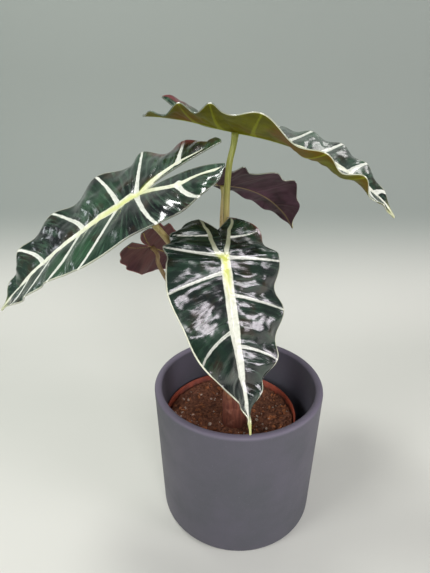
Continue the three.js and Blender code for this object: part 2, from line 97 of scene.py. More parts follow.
# a material's nodes: each helper adds what it names, links what it is given and returns the output socket
class NodeKit:
    def __init__(self, name):
        self.material = bpy.data.materials.new(name)
        self.material.use_nodes = True
        self.tree = self.material.node_tree
        self.shader = self.tree.nodes["Principled BSDF"]
        self.place = self.add("ShaderNodeTexCoord", {}, {}, "Object")

    def add(self, kind, settings, inputs, output=0):
        node = self.tree.nodes.new(kind)
        for key, value in settings.items():
            setattr(node, key, value)
        for key, value in inputs.items():
            self.feed(node.inputs[key], value)
        return node.outputs[output]

    def feed(self, socket, value):
        if isinstance(value, bpy.types.NodeSocket):
            self.tree.links.new(value, socket)
        else:
            socket.default_value = value

    def attribute(self, name):
        return self.add("ShaderNodeAttribute", {"attribute_name": name}, {}, "Fac")

    def height(self):
        return self.add("ShaderNodeSeparateXYZ", {}, {0: self.place}, "Z")

    def stretched(self, scale):
        return self.add("ShaderNodeMapping", {}, {"Vector": self.place, "Scale": scale})

    # noise in object space, or over the vector given
    def noise(self, scale, detail=3, roughness=0.5, distortion=0, vector=None):
        inputs = {"Scale": scale, "Detail": detail, "Roughness": roughness, "Distortion": distortion}
        inputs["Vector"] = self.place if vector is None else vector
        return self.add("ShaderNodeTexNoise", {}, inputs, "Fac")

    # noise drawn out along one direction, fine across it
    def streaks(self, across, along, fineness):
        inputs = {0: self.times(across, fineness), 1: self.times(along, 1.5)}
        return self.noise(1, 2.5, 0.6, 0.25, self.add("ShaderNodeCombineXYZ", {}, inputs))

    # a small uneven shift that frays the outline of a marking
    def fray(self, amount):
        return self.times(self.math("SUBTRACT", self.noise(260, 3, 0.6), 0.5), amount)

    def math(self, operation, a, b=0):
        return self.add("ShaderNodeMath", {"operation": operation}, {0: a, 1: b})

    def times(self, a, b):
        return self.math("MULTIPLY", a, b)

    def remap(self, value, low, high, start=0, end=1):
        inputs = {"Value": value, "From Min": low, "From Max": high, "To Min": start, "To Max": end}
        return self.add("ShaderNodeMapRange", {"interpolation_type": "SMOOTHSTEP"}, inputs)

    # inputs 6 and 7 and output 2 are the node's colours
    def mix(self, share, first, second):
        return self.add("ShaderNodeMix", {"data_type": "RGBA"}, {0: share, 6: first, 7: second}, 2)

    # the first colour, going over to the second as the value passes from low to high
    def blend(self, first, second, value, low, high, start=0, end=1):
        return self.mix(self.remap(value, low, high, start, end), first, second)

    def bump(self, height, strength, distance, normal=None):
        inputs = {"Height": height, "Strength": strength, "Distance": distance}
        if normal is not None:
            inputs["Normal"] = normal
        return self.add("ShaderNodeBump", {}, inputs)

    def finish(self, **values):
        for key, value in values.items():
            self.feed(self.shader.inputs[shaderInputs[key]], value)
        return self.material


def tint(red, green, blue):
    def linear(c):
        c = c / 255
        return c / 12.92 if c <= 0.04045 else ((c + 0.055) / 1.055) ** 2.4

    return (linear(red), linear(green), linear(blue), 1.0)


# pitch in degrees down from level, focal length and frame height in pixels
cameraForm = {"place": (-0.021, -0.3255, 0.358), "pitch": 22.8, "focal": 430.0, "frame": 573.0, "sensor": 36.0}


def makeCamera():
    data = bpy.data.cameras.new("camera")
    data.sensor_width = cameraForm["sensor"]
    data.lens = cameraForm["sensor"] * cameraForm["focal"] / cameraForm["frame"]
    data.clip_start = 0.01
    camera = bpy.data.objects.new("camera", data)
    camera.location = cameraForm["place"]
    camera.rotation_euler = (math.radians(90 - cameraForm["pitch"]), 0, 0)
    scene.collection.objects.link(camera)
    scene.camera = camera


studio = {
    "floorColor": tint(214, 214, 206), "floorPatches": tint(208, 210, 202), "wallColor": tint(140, 147, 141),
    "wallFullAt": 0.16, "reach": 2.2, "wallAt": 0.68, "coveRadius": 0.42, "coveSteps": 16,
    "skyColor": tint(206, 212, 210), "skyPower": 0.3,
    # place, size, power and colour of each lamp
    "lamps": {
        "windowLow": ((1.12, -0.42, 0.4), (0.34, 0.34), 4.2, (1, 0.93, 1)),
        "windowHigh": ((0.98, -0.6, 0.74), (0.3, 0.26), 3.2, (1, 0.93, 1)),
        "front": ((0.2, -1.4, 0.9), (0.9, 0.6), 13, (1, 0.98, 1)),
        "left": ((-1.1, -0.7, 0.8), (0.5, 0.7), 8, (1, 0.98, 1)),
        "top": ((-0.42, 0.12, 1.3), (0.28, 0.28), 7, (1, 1, 0.98)),
        "side": ((-1.04, 0.38, 0.6), (0.15, 0.15), 0.3, (0.92, 0.94, 1)),
        "back": ((0.5, 0.62, 0.78), (0.34, 0.16), 0.5, (1, 0.96, 0.95)),
    },
    "aim": (0, 0, 0.22),
}


# the floor rises into the wall behind through a round cove
def makeFloor():
    kit = NodeKit("floor paint")
    paper = kit.mix(kit.noise(3, 2), studio["floorColor"], studio["floorPatches"])
    paper = kit.blend(paper, studio["wallColor"], kit.height(), 0, studio["wallFullAt"])
    paint = kit.finish(color=paper, rough=0.85)
    reach, wallAt, radius, steps = (studio[key] for key in ("reach", "wallAt", "coveRadius", "coveSteps"))
    profile = [(-reach, 0.0), (wallAt - radius, 0.0)]
    for k in range(1, steps + 1):
        angle = math.pi / 2 * k / steps
        profile.append((wallAt - radius + radius * math.sin(angle), radius - radius * math.cos(angle)))
    profile.append((wallAt, reach))
    bm = bmesh.new()
    chain = [bm.verts.new((-reach, y, z)) for y, z in profile]
    edges = [bm.edges.new(pair) for pair in zip(chain, chain[1:])]
    sweep = bmesh.ops.extrude_edge_only(bm, edges=edges)
    moved = [item for item in sweep["geom"] if isinstance(item, bmesh.types.BMVert)]
    bmesh.ops.translate(bm, verts=moved, vec=(2 * reach, 0, 0))
    bmesh.ops.recalc_face_normals(bm, faces=bm.faces[:])
    floor = meshObject("floor", bm, [paint])


def makeLight():
    world = bpy.data.worlds.new("studio")
    world.use_nodes = True
    sky = world.node_tree.nodes["Background"]
    sky.inputs["Color"].default_value = studio["skyColor"]
    sky.inputs["Strength"].default_value = studio["skyPower"]
    scene.world = world
    scene.view_settings.view_transform = "Standard"
    for name, (place, size, power, color) in studio["lamps"].items():
        data = bpy.data.lights.new(name, "AREA")
        data.shape = "RECTANGLE"
        data.size, data.size_y = size
        data.energy = power
        data.color = color
        light = bpy.data.objects.new(name, data)
        light.location = place
        aim = Vector(studio["aim"]) - Vector(place)
        light.rotation_euler = aim.to_track_quat("-Z", "Y").to_euler()
        scene.collection.objects.link(light)


makeCamera()
makeFloor()
makeLight()
print("camera and studio set")


# a closed round piece spun from a profile of radius and height, in millimetres
def spunBody(profile, steps, shift=(0, 0, 0)):
    bm = bmesh.new()
    chain = [bm.verts.new((radius * mm, 0, z * mm)) for radius, z in profile]
    edges = [bm.edges.new(pair) for pair in zip(chain, chain[1:])]
    bmesh.ops.spin(bm, geom=chain + edges, axis=(0, 0, 1), angle=2 * math.pi, steps=steps, use_merge=True)
    bmesh.ops.remove_doubles(bm, verts=bm.verts[:], dist=weldWithin)
    bmesh.ops.recalc_face_normals(bm, faces=bm.faces[:])
    bmesh.ops.translate(bm, verts=bm.verts[:], vec=[value * mm for value in shift])
    return bm


def arc(x, z, radius, start, end, steps):
    angles = [math.radians(start + (end - start) * k / steps) for k in range(steps + 1)]
    return [(x + radius * math.cos(a), z + radius * math.sin(a)) for a in angles]


# the same outline with points added, about a step apart
def along(points, step):
    dense = [points[0]]
    for (r0, z0), (r1, z1) in zip(points, points[1:]):
        pieces = max(1, round(math.hypot(r1 - r0, z1 - z0) / step))
        dense += [(r0 + (r1 - r0) * k / pieces, z0 + (z1 - z0) * k / pieces) for k in range(1, pieces + 1)]
    return dense


# forms are in millimetres, the heights where a colour starts and ends in metres
coverPot = {
    "height": 130, "rimRadius": 75, "footRadius": 71, "wall": 6.6, "floor": 6,
    "rimRound": 3, "footRound": 4, "innerRound": 4, "ringGap": 6, "steps": 160,
    "color": tint(82, 80, 90), "shade": tint(76, 77, 83), "specks": tint(140, 138, 148),
    "rimHighlight": tint(112, 105, 121), "rimHighlightHeights": (0.1265, 0.1297),
}


def glazeMaterial():
    kit = NodeKit("matte grey glaze")
    clouds = kit.noise(22, 4, 0.6)
    color = kit.blend(coverPot["color"], coverPot["shade"], clouds, 0.3, 0.7)
    color = kit.blend(color, coverPot["specks"], kit.noise(900, 2, 0.6), 0.66, 0.78, 0, 0.35)
    # a paler lilac band round the rounded rim is a painted highlight
    color = kit.blend(color, coverPot["rimHighlight"], kit.height(), *coverPot["rimHighlightHeights"], 0, 0.75)
    rough = kit.remap(clouds, 0.3, 0.75, 0.5, 0.64)
    grit = kit.bump(kit.noise(620, 3, 0.6), 0.2, 0.0004)
    uneven = kit.bump(kit.noise(34, 2), 0.05, 0.0012, grit)
    return kit.finish(color=color, rough=rough, normal=uneven, specular=0.42)


def makeCoverPot():
    form = coverPot
    top, floor, wall, spacing = (form[key] for key in ("height", "floor", "wall", "ringGap"))
    foot, footRound, innerRound = form["footRadius"], form["footRound"], form["innerRound"]
    rim, rimRound = form["rimRadius"], form["rimRound"]
    outside = arc(foot - footRound, footRound, footRound, -90, 0, 8)
    rimOut = arc(rim - rimRound, top - rimRound, rimRound, 0, 90, 8)
    rimIn = arc(rim - wall + rimRound, top - rimRound, rimRound, 90, 180, 8)
    inside = arc(foot - wall - innerRound, floor + innerRound, innerRound, 0, -90, 6)
    profile = [(0, 0)] + along(outside + rimOut, spacing) + along(rimIn + inside, spacing) + [(0, floor)]
    placePiece("coverPot", spunBody(profile, form["steps"]), [glazeMaterial()], ["cover_pot"])


growPot = {
    "height": 90, "rimRadius": 60, "rimBand": 14, "rimStep": 2, "footRadius": 46,
    "wall": 1.4, "floor": 2, "shift": (-6.5, 0, 6.3), "steps": 144,
    "drains": {"count": 5, "radius": 4, "ring": 28, "depth": 12, "sides": 32},
    "color": tint(158, 72, 48), "dark": tint(124, 52, 36), "dust": tint(176, 116, 92),
    "darkBelowRim": tint(70, 42, 30), "darkBelowRimHeights": (0.0885, 0.0962),
}


def plasticMaterial():
    kit = NodeKit("terracotta plastic")
    clouds = kit.noise(60, 4, 0.6)
    color = kit.blend(growPot["color"], growPot["dark"], clouds, 0.35, 0.7)
    # darker in patches from just below the rim down towards the soil
    darkBelowRim = kit.remap(kit.height(), *growPot["darkBelowRimHeights"], 1, 0)
    color = kit.mix(kit.times(darkBelowRim, kit.remap(clouds, 0.3, 0.6)), color, growPot["darkBelowRim"])
    color = kit.blend(color, growPot["dust"], kit.noise(420, 3, 0.6), 0.62, 0.75, 0, 0.5)
    rough = kit.remap(clouds, 0.3, 0.7, 0.42, 0.62)
    grit = kit.bump(kit.noise(500, 2), 0.15, 0.0004)
    return kit.finish(color=color, rough=rough, normal=grit)


def makeGrowPot():
    form = growPot
    rim, top, wall, step = (form[key] for key in ("rimRadius", "height", "wall", "rimStep"))
    foot, floor, band = form["footRadius"], form["floor"], top - form["rimBand"]
    profile = [
        (0, 0), (foot - 2, 0), (foot - 0.6, 0.6), (foot, 2),
        (rim - step - 0.6, band - 0.4), (rim - step - 0.2, band), (rim - 0.9, band), (rim - 0.6, band + 0.3),
        (rim - 0.05, top - 1.2), (rim - 0.1, top - 0.5), (rim - 0.45, top), (rim - wall + 0.35, top),
        (rim - wall, top - 0.4), (rim - wall - 0.6, band + wall), (rim - step - wall - 0.6, band - wall),
        (foot - wall, floor + 2), (foot - wall - 2, floor), (0, floor),
    ]
    bm = spunBody(profile, form["steps"], form["shift"])
    pot = placePiece("growPot", bm, [plasticMaterial()], ["grow_pot"])
    drains = form["drains"]
    radius, depth = drains["radius"] * mm, drains["depth"] * mm
    ends = {"cap_ends": True, "segments": drains["sides"], "radius1": radius, "radius2": radius, "depth": depth}
    cutBm = bmesh.new()
    for k in range(drains["count"]):
        angle = 2 * math.pi * k / drains["count"]
        x, y = drains["ring"] * math.cos(angle), drains["ring"] * math.sin(angle)
        at = Matrix.Translation((Vector(form["shift"]) + Vector((x, y, 0))) * mm)
        bmesh.ops.create_cone(cutBm, matrix=at, **ends)
    cutter = meshObject("drainCutter", cutBm, smooth=False)
    holes = pot.modifiers.new("drains", "BOOLEAN")
    holes.object = cutter
    holes.operation = "DIFFERENCE"
    view = bpy.context.evaluated_depsgraph_get()
    view.update()
    drilled = bpy.data.meshes.new_from_object(pot.evaluated_get(view))
    pot.modifiers.clear()
    pot.data = drilled
    bpy.data.objects.remove(cutter)


makeCoverPot()
makeGrowPot()
print("pots made")


# the ring is where the stalks' feet stand, round the crown's axis
crown = {
    "x": -3.5, "y": -10.5, "soilLine": 90.8, "height": 50, "rootDepth": 24,
    "radius": 11, "topRadius": 10.2, "ring": 5.9,
}
crown["top"] = crown["soilLine"] + crown["height"]

soil = {
    "rings": 62, "steps": 200, "edge": 57.0, "belowRim": 5.5,
    "side": [(55.0, 76.0), (44.3, 4.6), (42.3, 2.6), (0, 2.6)],
    "lump": 1.1, "mound": 2.5, "moundReach": 24, "seed": 23, "bareEdge": 2.2, "pores": tint(34, 22, 16),
    "material": "potting mix", "color": tint(142, 92, 68), "dark": tint(86, 55, 42), "grain": 260, "rough": 0.95,
}
# loose bits on the soil, in the order that they are strewn in
soilBits = {
    "soilCrumbs": {
        "count": 900, "size": (0.7, 2.4), "squash": (0.5, 1.0), "detail": 1, "material": "crumbs",
        "color": tint(164, 108, 80), "dark": tint(96, 62, 48), "grain": 420, "rough": 0.92,
    },
    "soilGrit": {
        "count": 90, "size": (0.6, 2.2), "squash": (0.4, 0.9), "detail": 2, "material": "pale grit",
        "color": tint(216, 196, 180), "dark": tint(172, 148, 130), "grain": 500, "rough": 0.8,
    },
    "soilBark": {
        "count": 150, "size": (1.3, 3.8), "squash": (0.3, 0.6), "detail": 1, "material": "bark chips",
        "color": tint(198, 126, 82), "dark": tint(134, 84, 56), "grain": 300, "rough": 0.85,
    },
}


# height of the surface over the soil line, at x and y from the crown
def soilRelief(x, y):
    lumps = math.sin(0.42 * x + 1.7 * math.sin(0.19 * y)) * math.cos(0.37 * y + 1.3 * math.sin(0.23 * x))
    mound = math.exp(-(x * x + y * y) / soil["moundReach"] ** 2)
    place = Vector((x, y, 3.0))
    fine = 0.75 * noise.noise(place * 0.45) + 0.5 * noise.noise(place * 1.1) + 0.3 * noise.noise(place * 2.3)
    return soil["lump"] * lumps + soil["mound"] * mound + fine


def soilMaterial(kind):
    kit = NodeKit(kind["material"])
    color = kit.blend(kind["color"], kind["dark"], kit.noise(kind["grain"], 5, 0.65), 0.3, 0.68)
    fine = kit.noise(kind["grain"] * 4.5, 4, 0.7)
    color = kit.blend(color, soil["pores"], fine, 0.42, 0.72, 0, 0.5)
    bumpy = kit.bump(fine, 0.7, 0.0008)
    return kit.finish(color=color, rough=kind["rough"], normal=bumpy, specular=0.3)


def makeSoilBed():
    top = growPot["height"] - soil["belowRim"]
    rings = [(soil["edge"] * k / soil["rings"], top) for k in range(soil["rings"] + 1)]
    bm = spunBody(rings + soil["side"], soil["steps"], growPot["shift"])
    for vertex in bm.verts:
        if vertex.co.z > (crown["soilLine"] - 0.05) * mm:
            x, y = vertex.co.x / mm, vertex.co.y / mm
            lift = soilRelief(x - crown["x"], y - crown["y"])
            vertex.co.z = (crown["soilLine"] + lift) * mm
    placePiece("soilBed", bm, [soilMaterial(soil)], ["soil"])


# small rough lumps strewn round the crown, each sunk nearly halfway in
def strew(name, kind, draw):
    bm = bmesh.new()
    for _ in range(kind["count"]):
        width = draw.uniform(*kind["size"]) * draw.uniform(0.7, 1.0)
        reach = (soil["edge"] - soil["bareEdge"]) * math.sqrt(draw.random())
        angle = draw.uniform(0, 2 * math.pi)
        x = growPot["shift"][0] + reach * math.cos(angle)
        y = reach * math.sin(angle)
        if math.hypot(x - crown["x"], y - crown["y"]) < crown["radius"] + 1:
            continue
        breadth, depth = width * draw.uniform(*kind["squash"]), width * draw.uniform(0.45, 0.8)
        shape = Matrix.Diagonal((width, breadth, depth, 1))
        turn = Matrix.Rotation(draw.uniform(0, 6.28), 4, "Z") @ Matrix.Rotation(draw.uniform(-0.5, 0.5), 4, "X")
        height = crown["soilLine"] + soilRelief(x - crown["x"], y - crown["y"]) + 0.12 * width
        at = Matrix.Scale(mm, 4) @ Matrix.Translation((x, y, height)) @ turn @ shape
        made = bmesh.ops.create_icosphere(bm, subdivisions=kind["detail"], radius=1.0, matrix=Matrix())
        twist = Vector((draw.uniform(0, 50), draw.uniform(0, 50), 0))
        for vertex in made["verts"]:
            vertex.co = at @ (vertex.co * (1 + 0.35 * noise.noise(vertex.co * 1.6 + twist)))
    placePiece(name, bm, [soilMaterial(kind)])


makeSoilBed()
draw = random.Random(soil["seed"])
for name, kind in soilBits.items():
    strew(name, kind, draw)
print("soil made")


# cell is the size of the mesh's cells, fullWidth the half width that the relief's sizes are for
bladeForm = {
    "thickness": 0.8, "ridge": 1.3, "ridgeReach": 2.4, "frameSteps": 40, "dripStart": 0.6, "calmEnds": 0.15,
    "scallop": 0.05, "wave": 2.0, "cell": 1.0, "fullWidth": 46, "veinSweep": 1.35,
}
outlineAt = [-1, -0.93, -0.75, -0.4, 0, 0.2, 0.42, 0.62, 0.78, 0.88, 0.94, 1]
outlineShare = [0.38, 0.58, 0.76, 0.91, 0.99, 1, 0.92, 0.73, 0.45, 0.2, 0.07, 0.015]
stations = [-1, -0.5, -0.1, 0.2, 0.45, 0.72, 1]
# where the rib of a lobe runs, as a share of the way from its inner edge to its margin
lobeAt = [-1, -0.92, -0.76, -0.54, -0.3, -0.14, 0]

# Leaves are in millimetres and degrees, places along a blade from -1 at the lobes' ends to 1 at the tip, with 0
# at the junction. A pair is for the left and the right half. Folds and curls are given at the stations, veins by
# where they leave the rib and where they meet the margin. What isn't given is as in the habit.
leafHabit = {
    "sinus": 0.14, "flare": (0.75, 0.75), "tuck": 0, "drip": 0, "hook": 0, "waviness": (1, 1),
    "lobeRib": ([0.45, 0.38, 0.27, 0.17, 0.08, 0, 0],) * 2,
    "ribStart": 1, "lobeRibEnd": (0.3, 0.3), "lobeVein": 1, "drawnTo": 0.8,
}
leaves = {}


def addLeaf(name, **own):
    leaves[name] = {**leafHabit, **own}


addLeaf(
    "front", junction=(-14.2, -43, 260.9), heading=-73, pitch=-68, roll=-8, length=124.5, lobe=35,
    width=(48, 44.5), sinus=0.62, spread=(0.3, 0.22), flare=(1, 1), tuck=0.12, drip=0.04,
    bend=-4, yaw=2, twist=-29, lobeBend=57, lobeTwist=4,
    fold=([4, -9, -5, 0, 7, 9, 0], [8, 0, 6, 8, 12, 25, 36]),
    curl=([-22, -20, -15, -15, -11, -9, -12], [-42, -17, -10, -13, -12, -14, -10]),
    veins=(
        [[-0.44, -0.7], [0, 0.05], [0.21, 0.35], [0.5, 0.64], [0.7, 0.8]],
        [[-0.5, -0.68], [-0.06, -0.34], [0.08, 0.16], [0.41, 0.54], [0.66, 0.76], [0.84, 0.9]],
    ),
    lobeRib=([0.3, 0.29, 0.26, 0.2, 0.11, 0.04, 0], [0.1, 0.1, 0.2, 0.21, 0.17, 0.14, 0]),
    ribWidth=4.6, ribStart=0.85, lobeRibWidth=2.1, lobeRibEnd=(0.1, 0.1), veinWidth=1.35, lobeVein=0.6,
    drawnTo=0.6, slot=-62, stalkRadius=(3, 2.2), path=[(-5, -18.5, 180), (-11.5, -21, 215), (-16.5, -26, 240)],
)
addLeaf(
    "left", junction=(-75.5, -53, 302.5), heading=-189, pitch=-30.6, roll=-22.5, length=142, lobe=67,
    width=(42, 46), spread=(0.34, 0.3), flare=(3, 0.75),
    bend=16, yaw=3, twist=-14, lobeBend=7, lobeTwist=-3,
    fold=([2, 0, 6, 7, 17, 15, 7], [-3, 1, 9, 10, 8, 19, 10]), curl=([-15] * 7, [-7] * 7),
    veins=(
        [[-0.54, -0.73], [-0.1, -0.33], [0.06, 0.24], [0.3, 0.41], [0.5, 0.6], [0.7, 0.8]],
        [[-0.55, -0.62], [-0.09, -0.16], [0.06, 0.2], [0.28, 0.5], [0.58, 0.73], [0.8, 0.88]],
    ),
    lobeRib=([0.45, 0.41, 0.32, 0.33, 0.145, 0, 0], [0.42, 0.28, 0.15, 0.16, 0.07, 0, 0]),
    ribWidth=3.4, ribStart=1.5, lobeRibWidth=2.7, lobeRibEnd=(0.1, 0.5), veinWidth=1.8,
    slot=-134, stalkRadius=(3, 2.2),
    path=[(-14, -17, 172), (-26, -21, 210), (-40, -27, 245), (-52.8, -34, 268.8), (-61.9, -41.5, 283.6)],
)
addLeaf(
    "top", junction=(-6.5, -2, 341.5), heading=-17, pitch=-7, roll=0, length=134, lobe=64,
    width=(46, 45), spread=(0.34, 0.34), waviness=(0.55, 1.15),
    bend=47, hook=0.3, yaw=10, twist=20, lobeBend=-8, lobeTwist=18,
    fold=([34, -10, -5, 2, 4, 7, 14], [10, 17, 13, 11, -11, -6, 0]),
    curl=([-60, 0, 0, 0, 0, 0, 0], [10, 16, 16, 20, 60, 85, 60]),
    veins=(
        [[-0.55, -0.65], [-0.1, -0.2], [0.08, 0.18], [0.27, 0.38], [0.45, 0.57], [0.64, 0.73], [0.82, 0.88]],
        [[-0.42, -0.47], [-0.16, -0.12], [0.1, 0.17], [0.33, 0.46], [0.54, 0.66], [0.76, 0.86]],
    ),
    # its pale veins are drawn wide, partly as painted sheen
    lobeRib=([0.42, 0.3, 0.2, 0.12, 0.06, 0, 0],) * 2, ribWidth=3.8, lobeRibWidth=1.9, veinWidth=2.3, drawnTo=1,
    slot=10, stalkRadius=(3.1, 2.2),
    path=[(-3.5, -9, 170), (-10, -7.5, 225), (-12.6, -6.3, 275), (-10.8, -4.6, 318)],
)
addLeaf(
    "back", junction=(-14.5, 46, 296), heading=37, pitch=-6, roll=-15, length=106, lobe=38,
    width=(37, 37.5), spread=(0.15, 0.15),
    bend=52, hook=0.2, yaw=9, twist=3, lobeBend=-6, lobeTwist=-3,
    fold=([9, 10, 13, 9, 9, 5, 9], [10, 12, 12, 11, 17, 15, 11]),
    curl=([-6, -5, -4, -6, -6, -6, -6], [-6, -5, -5, -6, -3, -4, -5]),
    veins=(
        [[-0.6, -0.68], [-0.1, -0.24], [0.08, 0.16], [0.28, 0.4], [0.5, 0.62], [0.72, 0.8]],
        [[-0.55, -0.62], [-0.1, -0.2], [0.1, 0.22], [0.38, 0.5], [0.66, 0.79]],
    ),
    ribWidth=2.6, lobeRibWidth=1.6, veinWidth=1.3,
    slot=82, stalkRadius=(2.8, 1.9), path=[(-6, 0, 172), (-12, 15, 220), (-15, 31, 260), (-14.5, 39, 277)],
)
addLeaf(
    "small", junction=(-74, 20, 249), heading=62, pitch=-26, roll=-53, length=65, lobe=27,
    width=(28, 26), spread=(0.05, 0.34), flare=(1, 3),
    bend=15, yaw=-6, twist=8, lobeBend=5, lobeTwist=4,
    fold=([9, 3, -1, -2, 7, 9, 9], [3, 6, 2, -6, 3, 6, 7]),
    curl=([-10, -12, -13, -14, -10, -10, -10], [-10, -10, -11, -16, -11, -10, -10]),
    veins=(
        [[-0.55, -0.62], [-0.08, -0.24], [0.16, 0.28], [0.42, 0.54], [0.68, 0.76]],
        [[-0.5, -0.6], [-0.06, -0.18], [0.18, 0.3], [0.44, 0.56], [0.7, 0.78]],
    ),
    ribWidth=1.6, lobeRibWidth=1.1, veinWidth=0.9,
    slot=154, stalkRadius=(2.6, 1.7), path=[(-20, -4.5, 168), (-42, 3, 196), (-61, 11, 222), (-69, 15.5, 237)],
)


def turned(vector, towards, angle):
    return vector * math.cos(angle) + towards * math.sin(angle)


# frames along a midrib, one way from the junction: its place, and the directions ahead, left and up
def march(start, way, length, bend, hook, yaw, twist):
    steps = bladeForm["frameSteps"]
    centre, ahead, left, up = start
    frames = []
    for i in range(steps):
        k = (i + 0.5) / steps
        droop = math.radians(way * bend * (1 + hook * (3 * k * k - 1)) / steps)
        ahead, up = turned(ahead, up, -droop), turned(up, ahead, droop)
        swing = math.radians(yaw / steps)
        ahead, left = turned(ahead, left, swing), turned(left, ahead, -swing)
        spin = math.radians(twist / steps)
        left, up = turned(left, up, spin), turned(up, left, -spin)
        centre = centre + ahead * (way * length / steps)
        frames.append((centre, ahead, left, up))
    return frames


def ribFrames(leaf):
    heading, pitch, roll = (math.radians(leaf[key]) for key in ("heading", "pitch", "roll"))
    flat = math.cos(pitch)
    ahead = Vector((math.cos(heading) * flat, math.sin(heading) * flat, math.sin(pitch)))
    level = Vector((-math.sin(heading), math.cos(heading), 0))
    normal = ahead.cross(level)
    start = (Vector(leaf["junction"]), ahead, turned(level, normal, roll), turned(normal, level, -roll))
    forward = march(start, 1, leaf["length"], leaf["bend"], leaf["hook"], leaf["yaw"], leaf["twist"])
    backward = march(start, -1, leaf["lobe"], leaf["lobeBend"], 0, 0, leaf["lobeTwist"])
    return backward[::-1] + [start] + forward


def frameAt(frames, x):
    place = (x + 1) * bladeForm["frameSteps"]
    i = min(int(place), 2 * bladeForm["frameSteps"] - 1)
    return [first.lerp(second, place - i) for first, second in zip(frames[i], frames[i + 1])]


def veinCount(ends, x):
    last = len(ends) - 1
    if x < ends[0]:
        return (x - ends[0]) / (ends[1] - ends[0])
    if x > ends[last]:
        return last + (x - ends[last]) / (ends[last] - ends[last - 1])
    return through(ends, list(range(last + 1)), x)


# the leaf's values for one half: side is 1 for the left half and -1 for the right
def halfOf(leaf, side):
    keys = ("width", "fold", "curl", "veins", "lobeRib", "spread", "flare", "waviness", "lobeRibEnd")
    return {key: leaf[key][0 if side > 0 else 1] for key in keys}


# the flat layout of a half blade in millimetres: along the midrib, and out from it
def halfLayout(leaf, side, x):
    own = halfOf(leaf, side)
    half = own["width"]
    ends = [vein[1] for vein in own["veins"]]
    beat = math.cos(2 * math.pi * veinCount(ends, x)) * min(1.0, (1 - abs(x)) / bladeForm["calmEnds"])
    notchPart = max(0.0, (-x - leaf["sinus"]) / (1 - leaf["sinus"]))
    tipPart = max(0.0, (x - bladeForm["dripStart"]) / (1 - bladeForm["dripStart"]))
    ahead = x + leaf["drip"] * 4 * tipPart * (1 - tipPart)
    outline = through(outlineAt, outlineShare, ahead) - leaf["tuck"] * max(0.0, -x) ** 2
    outer = outline * half * (1 + bladeForm["scallop"] * beat)
    inner = own["spread"] * half * notchPart ** own["flare"]
    ribShare = max(0.0, through(lobeAt, own["lobeRib"], x))
    flatX = x * (leaf["length"] if x >= 0 else leaf["lobe"])
    return flatX, inner, outer, ribShare, beat, half


# side veins and lobe rib of a half blade as lines in the flat layout, with their half widths
def veinLines(leaf, side):
    own = halfOf(leaf, side)
    lines, lobeRib, steps = [], [], 14
    for start, end in own["veins"]:
        line = []
        for k in range(steps + 1):
            b = k / steps
            x = start + (end - start) * b ** bladeForm["veinSweep"]
            flatX, inner, outer, ribShare, _, _ = halfLayout(leaf, side, x)
            share = ribShare + (1 - ribShare) * b
            width = leaf["veinWidth"] * (1 - 0.5 * b + 0.7 * math.exp(-b / 0.07))
            width *= leaf["lobeVein"] if start < -0.3 else 1
            drawn = 1 if start < leaf["drawnTo"] else -1
            line.append((flatX, inner + share * (outer - inner), width * drawn))
        lines.append(line)
    # the rib thins out and ends before the end of the lobe
    for k in range(steps * 2 + 1):
        x = -0.985 * k / (steps * 2)
        flatX, inner, outer, ribShare, _, _ = halfLayout(leaf, side, x)
        shown = min(1, (1 + x) / own["lobeRibEnd"])
        width = leaf["lobeRibWidth"] * (1 + 0.6 * x) * shown - 0.5 * (1 - shown)
        lobeRib.append((flatX, inner + ribShare * (outer - inner), width))
    return lines, lobeRib


# distances of places to a line, and to the edge of its band, which are negative within the band
def lineField(flatX, flatY, line):
    best = depth = np.full(flatX.shape, 1e9)
    for (ax, ay, aw), (bx, by, bw) in zip(line, line[1:]):
        dx, dy = bx - ax, by - ay
        t = np.clip(((flatX - ax) * dx + (flatY - ay) * dy) / (dx * dx + dy * dy + 1e-12), 0, 1)
        distance = np.hypot(flatX - ax - t * dx, flatY - ay - t * dy)
        best = np.minimum(best, distance)
        depth = np.minimum(depth, distance - (aw + (bw - aw) * t))
    return best, depth


# the count of side veins passed along the blade, a whole number on each vein
def veinPhase(veins, x, out):
    knots = [start + (end - start) * out ** bladeForm["veinSweep"] for start, end in veins]
    phase = (x - knots[0]) / (knots[1] - knots[0])
    for k in range(1, len(knots) - 1):
        phase = np.where(x > knots[k], k + (x - knots[k]) / (knots[k + 1] - knots[k]), phase)
    return np.where(x > knots[-1], len(knots) - 1 + (x - knots[-1]) / (knots[-1] - knots[-2]), phase)


# uneven bumps of about one unit, where the blade is stretched between its veins
def puckers(flatX, flatY, seedShift):
    height = np.zeros(flatY.shape)
    for (i, k), away in np.ndenumerate(flatY):
        spot = Vector((flatX[i, k] * 0.11, away * 0.075, seedShift))
        height[i, k] = noise.noise(spot) + 0.5 * noise.noise(spot * 2.1)
    return height


def swell(near, reach):
    return np.exp(-((near / reach) ** 2))


relief = {
    "puff": 1.6, "ripple": 0.32, "rippleCount": 3, "pucker": 0.55, "groove": 0.4, "grooveReach": 1.3,
    "vein": 0.55, "veinReach": 1.2, "lobeRidge": 0.8, "lobeReach": 2.0,
}
# half width of the midrib's pale band along the blade as a share of ribWidth, after the leaf's ribStart
ribTaperAt = [0, 0.3, 0.6, 0.8, 1]
ribTaper = [1, 0.86, 0.5, 0.25]


